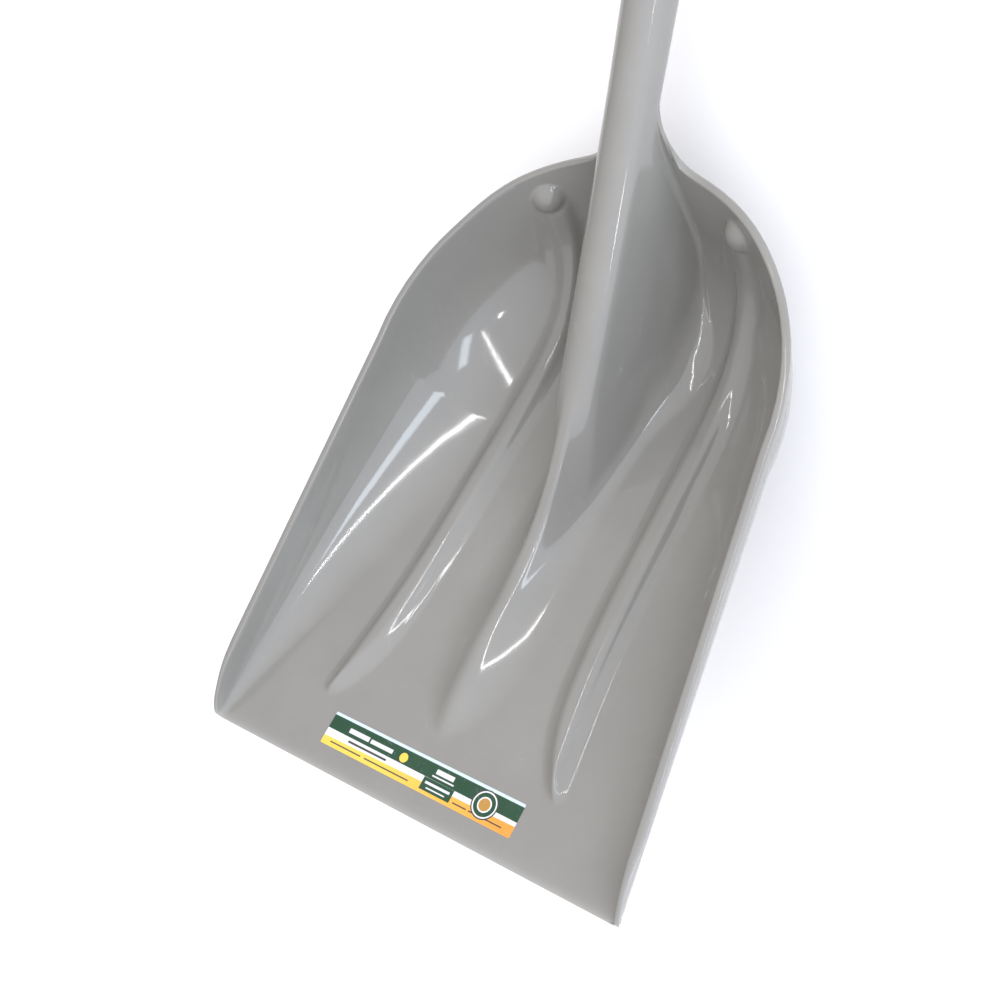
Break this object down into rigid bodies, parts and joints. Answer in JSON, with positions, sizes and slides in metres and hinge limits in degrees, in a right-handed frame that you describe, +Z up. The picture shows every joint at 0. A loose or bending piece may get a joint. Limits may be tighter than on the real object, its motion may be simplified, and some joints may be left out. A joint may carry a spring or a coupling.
{
  "type": "grain scoop shovel",
  "caption": "Lightweight scoop shovel with a deep moulded plastic bowl, ribbed floor, wooden shaft and steel and wood D-grip, for grain and other loose goods.",
  "frame": {"origin": "on the floor under the middle of the shovel's bounding box, the shovel lying on its heel and its D-grip with the lip raised", "axes": "+X from the scoop's lip towards the grip, +Y across, +Z up; the shovel is the same on both sides of the XZ plane, apart from its rivets' ends"},
  "size_m": [1.221, 0.3812, 0.2934],
  "materials": {
    "grey_abs": "glossy moulded warm grey ABS",
    "printed_vinyl": "printed gloss vinyl in green, white and yellow, no text",
    "ash_wood": "clear lacquered ash with straight grain",
    "turned_wood": "turned, sanded and lacquered hardwood",
    "black_steel": "black enamel on stamped steel",
    "zinc_steel": "zinc plated steel"
  },
  "bodies": {
    "shovel": {"scoop_blade": "grey_abs", "blade_label": "printed_vinyl", "handle_shaft": "ash_wood", "socket_rivet": "zinc_steel", "socket_rivet_burr": "zinc_steel", "grip_yoke": "black_steel", "yoke_rivets": "zinc_steel", "yoke_rivet_burrs": "zinc_steel", "grip_rod": "zinc_steel", "grip_rod_washers": "zinc_steel"},
    "hand_bar": {"grip_bar": "turned_wood"}
  },
  "joints": [
    {"name": "hand_bar_turn", "type": "hinge", "parent": "shovel", "child": "hand_bar", "pos_m": [0.59352, 0, 0.01736], "axis": [0, 1, 0], "continuous": true}
  ]
}
